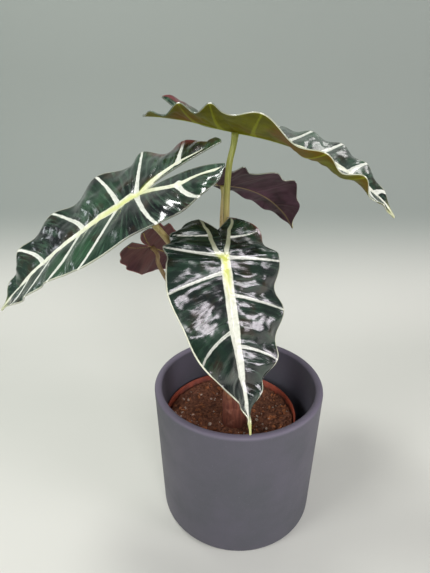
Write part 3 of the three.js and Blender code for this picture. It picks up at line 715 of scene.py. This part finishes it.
def halfField(leaf, frames, side, xs, shares):
    own = halfOf(leaf, side)
    rows = [halfLayout(leaf, side, x) for x in xs]
    flatRow, inner, outer, ribShare, beat, half = (np.array(values)[:, None] for values in zip(*rows))
    vectors = zip(*(frameAt(frames, x) for x in xs))
    centre, _, left, up = (np.array([tuple(v) for v in values])[:, None, :] for values in vectors)
    slope = np.radians([through(stations, own["fold"], x) for x in xs])[:, None]
    curl = np.array([through(stations, own["curl"], x) for x in xs])[:, None]
    curl = np.where(np.abs(curl) < 0.01, 0.01, curl)
    turn = np.radians(curl) / half
    share = np.array(shares)[None, :]
    reach = inner + share * (outer - inner)
    across = (np.sin(slope + turn * reach) - np.sin(slope)) / turn
    rise = (np.cos(slope) - np.cos(slope + turn * reach)) / turn
    size = half / bladeForm["fullWidth"]
    x = np.array(xs)[:, None] + 0 * share
    flatX = flatRow + 0 * share
    # how far out from the rib
    out = np.clip((share - ribShare) / (1 - ribShare), 0, 1)
    phase = veinPhase(own["veins"], x, out)
    lines, lobeRib = veinLines(leaf, side)
    fields = [lineField(flatX, reach, line) for line in lines]
    veinNear, veinDepth = (np.min(values, axis=0) for values in zip(*fields))
    lobeNear, lobeDepth = lineField(flatX, reach, lobeRib)
    taper = [leaf["ribStart"]] + ribTaper
    ribHalf = leaf["ribWidth"] * np.array([through(ribTaperAt, taper, value) for value in xs])[:, None]
    ribNear = np.hypot(reach, np.clip(-flatX, 0, None))
    mainNear = np.minimum(ribNear, lobeNear)
    ribDepth = np.minimum(ribNear - ribHalf, lobeDepth)
    edge = np.minimum(outer - reach, np.where(x < -leaf["sinus"], reach - inner, 1e3))
    edge = np.minimum(edge, np.minimum((1 - x) * leaf["length"], (1 + x) * leaf["lobe"]))
    # relief over the arched blade
    fadeOut = np.clip(out * (1 - out) * 4, 0, 1)
    tipFade = np.clip((1 - np.abs(x)) / 0.2, 0, 1)
    offVeins = 0.5 - 0.5 * np.cos(2 * np.pi * phase)
    puff = relief["puff"] * size * fadeOut * offVeins * tipFade
    seedShift = leaf["length"] * 0.37 + side
    sway = 0.7 * np.sin(0.11 * flatX + seedShift) + 0.5 * np.sin(0.23 * reach + 0.7 * seedShift)
    ripple = np.sin(2 * np.pi * relief["rippleCount"] * phase + 1.6 * sway + 0.08 * reach)
    clear = np.clip(mainNear / 5 - 0.3, 0, 1) * np.clip(edge / 4, 0, 1) * size
    ripple *= relief["ripple"] * clear * offVeins
    pucker = puckers(flatX, reach, seedShift)
    pucker *= relief["pucker"] * clear * np.clip(veinDepth / 3, 0, 1)
    wave = bladeForm["wave"] * own["waviness"] * size * beat * share * share
    lift = rise + wave + puff + ripple + pucker
    point = centre + left * (side * across)[..., None] + up * lift[..., None]
    # how deep the upper face sinks along the veins, and how far the lower one stands out
    groove = relief["groove"] * swell(veinNear, relief["grooveReach"] * size) * np.clip(edge / 3, 0.2, 1)
    ridgeBelow = bladeForm["ridge"] * swell(reach, bladeForm["ridgeReach"]) * (1 - 0.75 * np.abs(x))
    ridgeBelow = ridgeBelow * np.clip(1 + x / 0.2, 0, 1)
    lobeBelow = relief["lobeRidge"] * swell(lobeNear, relief["lobeReach"]) * np.clip(1 + x, 0, 1)
    veinBelow = relief["vein"] * swell(veinNear, relief["veinReach"] * size) * np.clip(edge / 3, 0, 1)
    below = np.maximum(np.maximum(ridgeBelow, lobeBelow), veinBelow) * size
    return {
        "point": point, "groove": groove, "below": below, "vein": veinDepth, "rib": ribDepth, "edge": edge,
        "core": mainNear / leaf["ribWidth"], "phase": phase, "lengthwise": x, "out": side * out,
    }


# one sheet of both halves, in the middle of the blade's thickness, with the markings as attributes
def makeLeafSheet(leaf):
    frames = ribFrames(leaf)
    cell, sinus = bladeForm["cell"], leaf["sinus"]
    lobeRows = round(leaf["lobe"] * (1 - sinus) / cell)
    bladeRows = round((leaf["length"] + sinus * leaf["lobe"]) / cell)
    columns = round(max(leaf["width"]) / cell)
    xs = [-1 + (1 - sinus) * i / lobeRows for i in range(lobeRows)]
    middle = -sinus * leaf["lobe"]
    for i in range(bladeRows + 1):
        flat = middle + (leaf["length"] - middle) * i / bladeRows
        xs.append(flat / (leaf["length"] if flat >= 0 else leaf["lobe"]))
    xs[-1] = 1.0
    shares = [k / columns for k in range(columns + 1)]
    bm = bmesh.new()
    marks = ("vein", "rib", "edge", "core", "phase", "lengthwise", "out", "groove", "below")
    layers = {key: bm.verts.layers.float.new(key) for key in marks}
    for side in (1, -1):
        field = halfField(leaf, frames, side, xs, shares)
        made = bmesh.ops.create_grid(bm, x_segments=len(xs) - 1, y_segments=columns, size=1.0)
        for vertex in made["verts"]:
            i = round((vertex.co.x + 1) / 2 * (len(xs) - 1))
            k = round((vertex.co.y + 1) / 2 * columns)
            vertex.co = Vector(field["point"][i, k]) * mm
            for key, layer in layers.items():
                vertex[layer] = field[key][i, k]
        if side < 0:
            faces = {face for vertex in made["verts"] for face in vertex.link_faces}
            bmesh.ops.reverse_faces(bm, faces=list(faces))
    bmesh.ops.remove_doubles(bm, verts=bm.verts[:], dist=weldWithin)
    return bm, layers


# the sheet becomes the lower face, with material 1, and its extruded copy the upper one
def thickenLeaf(bm, layers):
    bm.normal_update()
    normals = {tuple(vertex.co): vertex.normal.copy() for vertex in bm.verts}
    lowerVerts, lowerFaces = list(bm.verts), list(bm.faces)
    made = bmesh.ops.extrude_face_region(bm, geom=lowerFaces)
    upperVerts = [item for item in made["geom"] if isinstance(item, bmesh.types.BMVert)]
    half = bladeForm["thickness"] / 2
    for vertex in upperVerts:
        vertex.co += normals[tuple(vertex.co)] * (half - vertex[layers["groove"]]) * mm
    for vertex in lowerVerts:
        vertex.co -= normals[tuple(vertex.co)] * (half + vertex[layers["below"]]) * mm
    lowerSet = set(lowerFaces)
    for face in bm.faces:
        face.material_index = 1 if face in lowerSet else 0
    bmesh.ops.recalc_face_normals(bm, faces=bm.faces[:])


upperFinish = {
    "green": tint(22, 44, 33), "greenLight": tint(44, 80, 52), "greenDark": tint(10, 16, 18),
    "brown": tint(48, 38, 26), "streak": tint(78, 108, 86), "silver": tint(230, 233, 221),
    "silverDim": tint(146, 152, 136), "lobeRib": tint(122, 128, 98), "ribYellow": tint(220, 224, 140),
    "core": tint(206, 214, 76), "cream": tint(230, 232, 206), "blush": tint(108, 56, 58),
    "tip": tint(186, 190, 110),
}
# how far each leaf's markings go: dim lobe ribs, yellow in the ribs, where the yellow heart ends ahead and back,
# how wide and strong it is, grey in the veins, pale margin and tip, green, which also sets how much painted
# sheen the pale streaks carry, and the blush on a lobe: its place, reach, side, depth from the margin and share
toneHabit = {
    "lobeDim": 0.3, "yellow": 0.3, "heart": 0.4, "back": -0.14, "wide": 0.9, "strong": 0.8,
    "grey": 0.4, "margin": 0.5, "tip": 0.3,
}
upperTones = {
    "front": {
        "lobeDim": 0.9, "yellow": 0.12, "heart": 0.3, "strong": 0.9, "grey": 0.7, "margin": 0.95, "tip": 0.9,
        "green": 0.25, "blush": (-0.75, 0.4, 1, 4, 0.6),
    },
    "left": {
        "lobeDim": 0, "yellow": 0.24, "heart": 0.36, "back": -0.42, "wide": 1.4, "strong": 0.6, "grey": 0.15,
        "tip": 0.4, "green": 0.75, "blush": (-0.56, 0.42, -1, 10, 0.95),
    },
    "top": {"lobeDim": 0.2, "heart": 0.5, "grey": 0.1, "tip": 0.5, "green": 1, "blush": (-1, 0.36, 1, 80, 1)},
    "back": {"green": 0.6, "blush": (-0.6, 0.4, -1, 5, 0.4)},
    "small": {"margin": 0.4, "green": 0.5, "blush": (-0.6, 0.5, 1, 5, 0.6)},
}
# drift is how much warmer the colour gets towards the tip
lowerFinish = {
    "plum": {
        "base": tint(72, 52, 58), "dark": tint(48, 35, 39), "warm": tint(84, 58, 70), "drift": 0.12,
        "vein": tint(96, 72, 72), "rib": tint(156, 136, 84), "rim": tint(84, 60, 72), "rimWidth": 0.35,
    },
    "maroon": {
        "base": tint(92, 62, 64), "dark": tint(64, 43, 48), "warm": tint(106, 76, 72), "drift": -0.1,
        "vein": tint(76, 50, 54), "rib": tint(164, 152, 76), "rim": tint(160, 96, 92), "rimWidth": 0.9,
    },
    # olive is partly the young top leaf's own colour and partly painted light shining through it from above
    "oliveLitThrough": {
        "base": tint(112, 112, 16), "dark": tint(84, 84, 10), "warm": tint(112, 78, 24), "drift": 0.1,
        "vein": tint(156, 164, 38), "rib": tint(146, 158, 38), "rim": tint(164, 160, 92), "rimWidth": 0.6,
    },
}
lowerNames = {"front": "plum", "left": "plum", "top": "oliveLitThrough", "back": "plum", "small": "maroon"}


def leafUpperMaterial(name, tone):
    kit = NodeKit(name)
    shades = upperFinish
    frayed = kit.fray(1.1)
    vein = kit.math("ADD", kit.attribute("vein"), frayed)
    rib = kit.math("ADD", kit.attribute("rib"), kit.times(frayed, 0.7))
    edge = kit.math("ADD", kit.attribute("edge"), kit.times(frayed, 0.6))
    core, lengthwise, out = (kit.attribute(key) for key in ("core", "lengthwise", "out"))
    green = kit.blend(shades["green"], shades["greenLight"], kit.noise(46, 4, 0.6), 0.42, 0.7, 0, tone["green"])
    green = kit.blend(green, shades["greenDark"], kit.noise(24, 2), 0.42, 0.64)
    green = kit.blend(green, shades["brown"], kit.noise(62, 3), 0.53, 0.7, 0, 0.75)
    # fine streaks that follow the side veins, only a little paler than the blade;
    # their paleness is partly painted sheen on the ridges, the most on the greenest leaves such as the top one
    streak = kit.streaks(kit.attribute("phase"), out, 11)
    green = kit.blend(green, shades["streak"], streak, 0.48, 0.64, 0, 0.12 + 0.36 * tone["green"])
    silver = kit.blend(shades["silver"], shades["silverDim"], kit.noise(300, 4, 0.7), 0.4, 0.75, 0, 0.45)
    veinBand = kit.remap(vein, -0.4, 0.3, 1, 0)
    veinHeart = kit.remap(vein, -1.1, -0.35, tone["grey"], 0.1 * tone["grey"])
    ending = kit.remap(kit.math("ABSOLUTE", out), 0.3, 1, 0, 0.6 * tone["grey"])
    veinColor = kit.mix(kit.math("MAXIMUM", veinHeart, ending), silver, shades["silverDim"])
    color = kit.mix(veinBand, green, veinColor)
    ribColor = kit.blend(silver, shades["ribYellow"], lengthwise, 0.9, 0.1, 0.3 * tone["yellow"], tone["yellow"])
    ribColor = kit.blend(ribColor, shades["lobeRib"], lengthwise, -0.3, -0.02, tone["lobeDim"], 0)
    ribBand = kit.remap(rib, -0.45, 0.35, 1, 0)
    color = kit.mix(ribBand, color, ribColor)
    # yellow-green heart of the midrib, widest at the junction
    heart = kit.remap(lengthwise, 0.04, tone["heart"], 1, 0)
    heart = kit.times(heart, kit.remap(lengthwise, tone["back"], 0))
    heart = kit.times(kit.remap(core, 0.2, tone["wide"], tone["strong"], 0), heart)
    color = kit.mix(heart, color, shades["core"])
    at, reach, side, depth, share = tone["blush"]
    away = kit.math("ABSOLUTE", kit.math("SUBTRACT", lengthwise, at))
    blush = kit.times(kit.remap(away, 0.4 * reach, reach, share, 0), kit.remap(edge, 0.5, depth, 1, 0))
    blush = kit.times(blush, kit.remap(kit.times(out, side), 0.05, 0.3))
    color = kit.mix(blush, color, shades["blush"])
    # the pale margin is patchy, and fainter on the lobes
    margin = kit.remap(kit.noise(30, 2), 0.36, 0.5, 0.5, 1)
    margin = kit.times(margin, kit.remap(lengthwise, -0.15, 0.2, 0.3 * tone["margin"], tone["margin"]))
    margin = kit.times(kit.remap(edge, 0.4, 1, 1, 0), margin)
    color = kit.mix(margin, color, shades["cream"])
    color = kit.blend(color, shades["tip"], lengthwise, 0.88, 0.96, 0, tone["tip"])
    pale = kit.math("MAXIMUM", veinBand, ribBand)
    rough = kit.remap(pale, 0, 1, 0.2, 0.4)
    ridges = kit.bump(kit.times(streak, kit.remap(pale, 0, 0.4, 1, 0)), 0.6, 0.0007)
    quilt = kit.bump(kit.noise(62, 1, 0.5, 0.4), 0.5, 0.0032, ridges)
    skin = kit.bump(kit.noise(700, 3, 0.6), 0.1, 0.0003, quilt)
    return kit.finish(color=color, rough=rough, normal=skin, specular=0.5, coat=0.55, coatRough=0.1)


def leafLowerMaterial(name, shades):
    kit = NodeKit(name)
    vein = kit.math("ADD", kit.attribute("vein"), kit.fray(1))
    lengthwise = kit.attribute("lengthwise")
    color = kit.blend(shades["base"], shades["dark"], kit.noise(40, 4, 0.6), 0.38, 0.66)
    warmth = kit.math("ADD", kit.noise(34, 3), kit.times(lengthwise, shades["drift"]))
    color = kit.blend(color, shades["warm"], warmth, 0.46, 0.66, 0, 0.9)
    streak = kit.streaks(kit.attribute("phase"), kit.attribute("out"), 9)
    color = kit.blend(color, shades["dark"], streak, 0.45, 0.75, 0, 0.5)
    color = kit.blend(color, shades["vein"], vein, -1.2, -0.3, 0.5, 0)
    rib = kit.remap(kit.attribute("core"), 0.1, 0.32, 0.95, 0)
    color = kit.mix(kit.times(rib, kit.remap(lengthwise, 0.1, 1, 1, 0.3)), color, shades["rib"])
    rimWidth = shades["rimWidth"]
    color = kit.blend(color, shades["rim"], kit.attribute("edge"), 0.4 * rimWidth, rimWidth, 0.7, 0)
    ridges = kit.bump(streak, 0.3, 0.0004)
    bumpy = kit.bump(kit.noise(300, 4, 0.6), 0.25, 0.0006, ridges)
    return kit.finish(color=color, rough=0.62, normal=bumpy, specular=0.12)


undersides = {name: leafLowerMaterial(f"{name} leaf underside", shades) for name, shades in lowerFinish.items()}
for name, leaf in leaves.items():
    sheet, layers = makeLeafSheet(leaf)
    thickenLeaf(sheet, layers)
    upper = leafUpperMaterial(f"{name} leaf upper face", {**toneHabit, **upperTones[name]})
    placePiece(f"{name}Blade", sheet, [upper, undersides[lowerNames[name]]], [f"leaf_{name}"])
    print("leaf made:", name)


# a stalk stands upright from and to these heights over the crown's top, reaches its blade from straight below,
# over these distances, and is a little wider there
stalkForm = {
    "sides": 20, "step": 2.0, "upright": (-11, 2), "below": (9, 0.7),
    "flare": 0.55, "flareFrom": 0.965, "flareSpan": 0.035,
    "upper": (tint(158, 164, 80), tint(128, 136, 58)), "lower": (tint(168, 146, 102), tint(138, 112, 76)),
    "foot": (tint(130, 80, 60), tint(100, 58, 46)), "freckles": tint(124, 100, 60),
}


def stalkMaterial():
    kit = NodeKit("leaf stalk")
    height = kit.height()
    streaks = kit.noise(1, 4, 0.6, vector=kit.stretched((900, 900, 45)))
    upper, lower = (kit.blend(*stalkForm[key], streaks, 0.35, 0.7) for key in ("upper", "lower"))
    color = kit.blend(lower, upper, height, 0.245, 0.335)
    color = kit.blend(kit.blend(*stalkForm["foot"], streaks, 0.4, 0.65), color, height, 0.135, 0.19)
    freckles = kit.noise(1, 3, 0.6, vector=kit.stretched((700, 700, 260)))
    color = kit.blend(color, stalkForm["freckles"], freckles, 0.62, 0.74, 0, 0.35)
    bumpy = kit.bump(streaks, 0.25, 0.0004)
    return kit.finish(color=color, rough=0.42, normal=bumpy, specular=0.45)


def stalkPoints(leaf):
    slot = math.radians(leaf["slot"])
    foot = (crown["x"] + crown["ring"] * math.cos(slot), crown["y"] + crown["ring"] * math.sin(slot))
    centre, _, _, up = frameAt(ribFrames(leaf), 0)
    path = [Vector((*foot, crown["top"] + rise)) for rise in stalkForm["upright"]]
    path += [Vector(point) for point in leaf["path"]]
    return path + [centre - up * below for below in stalkForm["below"]]


# centripetal curve through the points, as the solids' stalks follow, at even steps
def smoothPath(points, step):
    ends = [points[0] * 2 - points[1]] + points + [points[-1] * 2 - points[-2]]
    dense = []
    for a, b, c, d in zip(ends, ends[1:], ends[2:], ends[3:]):
        t0, t1, t2 = (max((q - p).length ** 0.5, 1e-4) for p, q in ((a, b), (b, c), (c, d)))
        m1 = ((b - a) / t0 - (c - a) / (t0 + t1) + (c - b) / t1) * t1
        m2 = ((c - b) / t1 - (d - b) / (t1 + t2) + (d - c) / t2) * t1
        pieces = max(2, round((c - b).length / 0.5))
        dense += [between(b, m1, c, m2, k / pieces) for k in range(pieces)]
    dense.append(points[-1])
    even, walked = [dense[0]], 0.0
    for a, b in zip(dense, dense[1:]):
        walked += (b - a).length
        if walked >= step:
            even.append(b)
            walked = 0.0
    even[-1] = dense[-1]
    return even


# a round tube made by extruding a ring along the path, its ends closed
def sweptTube(path, radiusAt, sides):
    bm = bmesh.new()
    ring = bmesh.ops.create_circle(bm, cap_ends=True, segments=sides, radius=mm)["verts"]
    heading = Vector((0, 0, 1))
    face = ring[0].link_faces[0]
    sofar = Matrix()
    for i, point in enumerate(path):
        ahead = (path[min(i + 1, len(path) - 1)] - path[max(i - 1, 0)]).normalized()
        turn = heading.rotation_difference(ahead).to_matrix().to_4x4()
        heading = ahead
        if i:
            made = bmesh.ops.extrude_face_region(bm, geom=[face])
            newFace = [item for item in made["geom"] if isinstance(item, bmesh.types.BMFace)][0]
            # the first ring's face stays as the lower end
            if i > 1:
                bmesh.ops.delete(bm, geom=[face], context="FACES_ONLY")
            face = newFace
        sofar = turn @ sofar
        radius = radiusAt(i / (len(path) - 1))
        place = Matrix.Translation(point * mm) @ sofar @ Matrix.Scale(radius, 4)
        for k, vertex in enumerate(face.verts):
            angle = 2 * math.pi * k / sides
            vertex.co = place @ Vector((math.cos(angle) * mm, math.sin(angle) * mm, 0))
    bmesh.ops.recalc_face_normals(bm, faces=bm.faces[:])
    return bm


def makeStalks():
    skin = stalkMaterial()
    for name, leaf in leaves.items():
        footRadius, topRadius = leaf["stalkRadius"]

        def radiusAt(t):
            flared = max(0.0, (t - stalkForm["flareFrom"]) / stalkForm["flareSpan"]) ** 1.5
            return footRadius + (topRadius - footRadius) * t + stalkForm["flare"] * flared

        bm = sweptTube(smoothPath(stalkPoints(leaf), stalkForm["step"]), radiusAt, stalkForm["sides"])
        placePiece(f"{name}Stalk", bm, [skin], [f"stalk_{name}"])


makeStalks()
print("stalks made")


crownFinish = {
    "corm": (tint(136, 82, 64), tint(98, 56, 46)), "sheath": (tint(168, 124, 88), tint(120, 74, 54)),
    "sheathHeights": (0.122, 0.142), "highlightPatch": tint(184, 128, 106),
}


def crownMaterial():
    kit = NodeKit("crown skin")
    streaks = kit.noise(1, 5, 0.65, 0.4, kit.stretched((520, 520, 60)))
    corm = kit.blend(*crownFinish["corm"], streaks, 0.3, 0.7)
    sheath = kit.blend(*crownFinish["sheath"], streaks, 0.35, 0.65)
    rise = kit.math("ADD", kit.height(), kit.times(kit.noise(90, 2), 0.012))
    color = kit.blend(corm, sheath, rise, *crownFinish["sheathHeights"])
    # lighter patches here and there are a painted highlight on the corm
    color = kit.blend(color, crownFinish["highlightPatch"], kit.noise(120, 4, 0.6), 0.55, 0.75, 0, 0.5)
    bumpy = kit.bump(streaks, 0.5, 0.0008)
    return kit.finish(color=color, rough=0.6, normal=bumpy, specular=0.4)


# a fleshy corm that parts above into the sheaths round the stalks' feet
def makeCrown():
    radius, topRadius, height = crown["radius"], crown["topRadius"], crown["height"]
    profile = [
        (0, -crown["rootDepth"]), (radius * 0.6, -22), (radius * 0.95, -15.8), (radius, -6),
        (radius, height * 0.25), ((radius + topRadius) / 2, height * 0.6), (topRadius, height - 6),
        (topRadius - 0.9, height - 2), (topRadius - 3, height), (0, height - 2),
    ]
    bm = spunBody(along(profile, 1.0), 120)
    firstSlot = math.radians(leaves["top"]["slot"])
    for vertex in bm.verts:
        x, y, z = (value / mm for value in vertex.co)
        if math.hypot(x, y) < 0.01:
            continue
        above = min(1.0, max(0.0, (z - 5) / 10))
        around = math.atan2(y, x)
        sheathed = max(0.0, z / height) ** 2
        lobe = abs(math.cos(2.5 * (around - firstSlot)))
        folds = above * (0.02 + 0.13 * sheathed) * (lobe - 0.6)
        # old leaf scars run round it at uneven heights
        drift = z + 3.2 * noise.noise(Vector((math.cos(around), math.sin(around), z * 0.06)) * 1.4)
        scars = -0.035 * above * max(0.0, math.sin(drift * 0.62)) ** 6
        rough = 0.05 * noise.noise(Vector((x, y, z * 0.4)) * 0.3) + 0.015 * noise.noise(Vector((x, y, z)))
        scale = 1 + folds + scars + rough
        slant = 3.5 * sheathed * noise.noise(Vector((math.cos(around), math.sin(around), 5)) * 2)
        vertex.co = Vector((x * scale, y * scale, z + slant)) * mm
    bmesh.ops.translate(bm, verts=bm.verts[:], vec=(crown["x"] * mm, crown["y"] * mm, crown["soilLine"] * mm))
    placePiece("crownCore", bm, [crownMaterial()], ["crown"])


makeCrown()
print("crown made")
